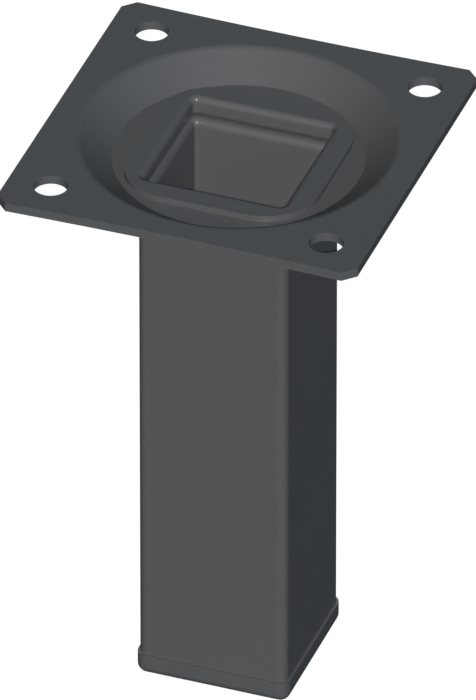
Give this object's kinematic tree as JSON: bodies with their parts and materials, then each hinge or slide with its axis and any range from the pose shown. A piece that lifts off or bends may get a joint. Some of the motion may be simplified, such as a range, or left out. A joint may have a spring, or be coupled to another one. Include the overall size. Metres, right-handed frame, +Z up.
{
  "type": "square metal furniture leg",
  "caption": "Short square steel tube leg with a dished screw-on mounting plate on top and a plastic foot cap below.",
  "frame": {"origin": "middle of the foot's underside, on the axis of the tube", "axes": "+Z up along the tube to the mounting plate, X and Y square to the tube's faces"},
  "size_m": [0.06, 0.06, 0.0988],
  "materials": {
    "plate_coat": "smooth satin anthracite powder coat",
    "tube_coat": "smooth satin anthracite powder coat",
    "cap_plastic": "moulded anthracite plastic, fine matt grain"
  },
  "bodies": {
    "root": {"mounting_plate": "plate_coat", "square_tube": "tube_coat", "foot_cap": "cap_plastic"}
  },
  "joints": []
}
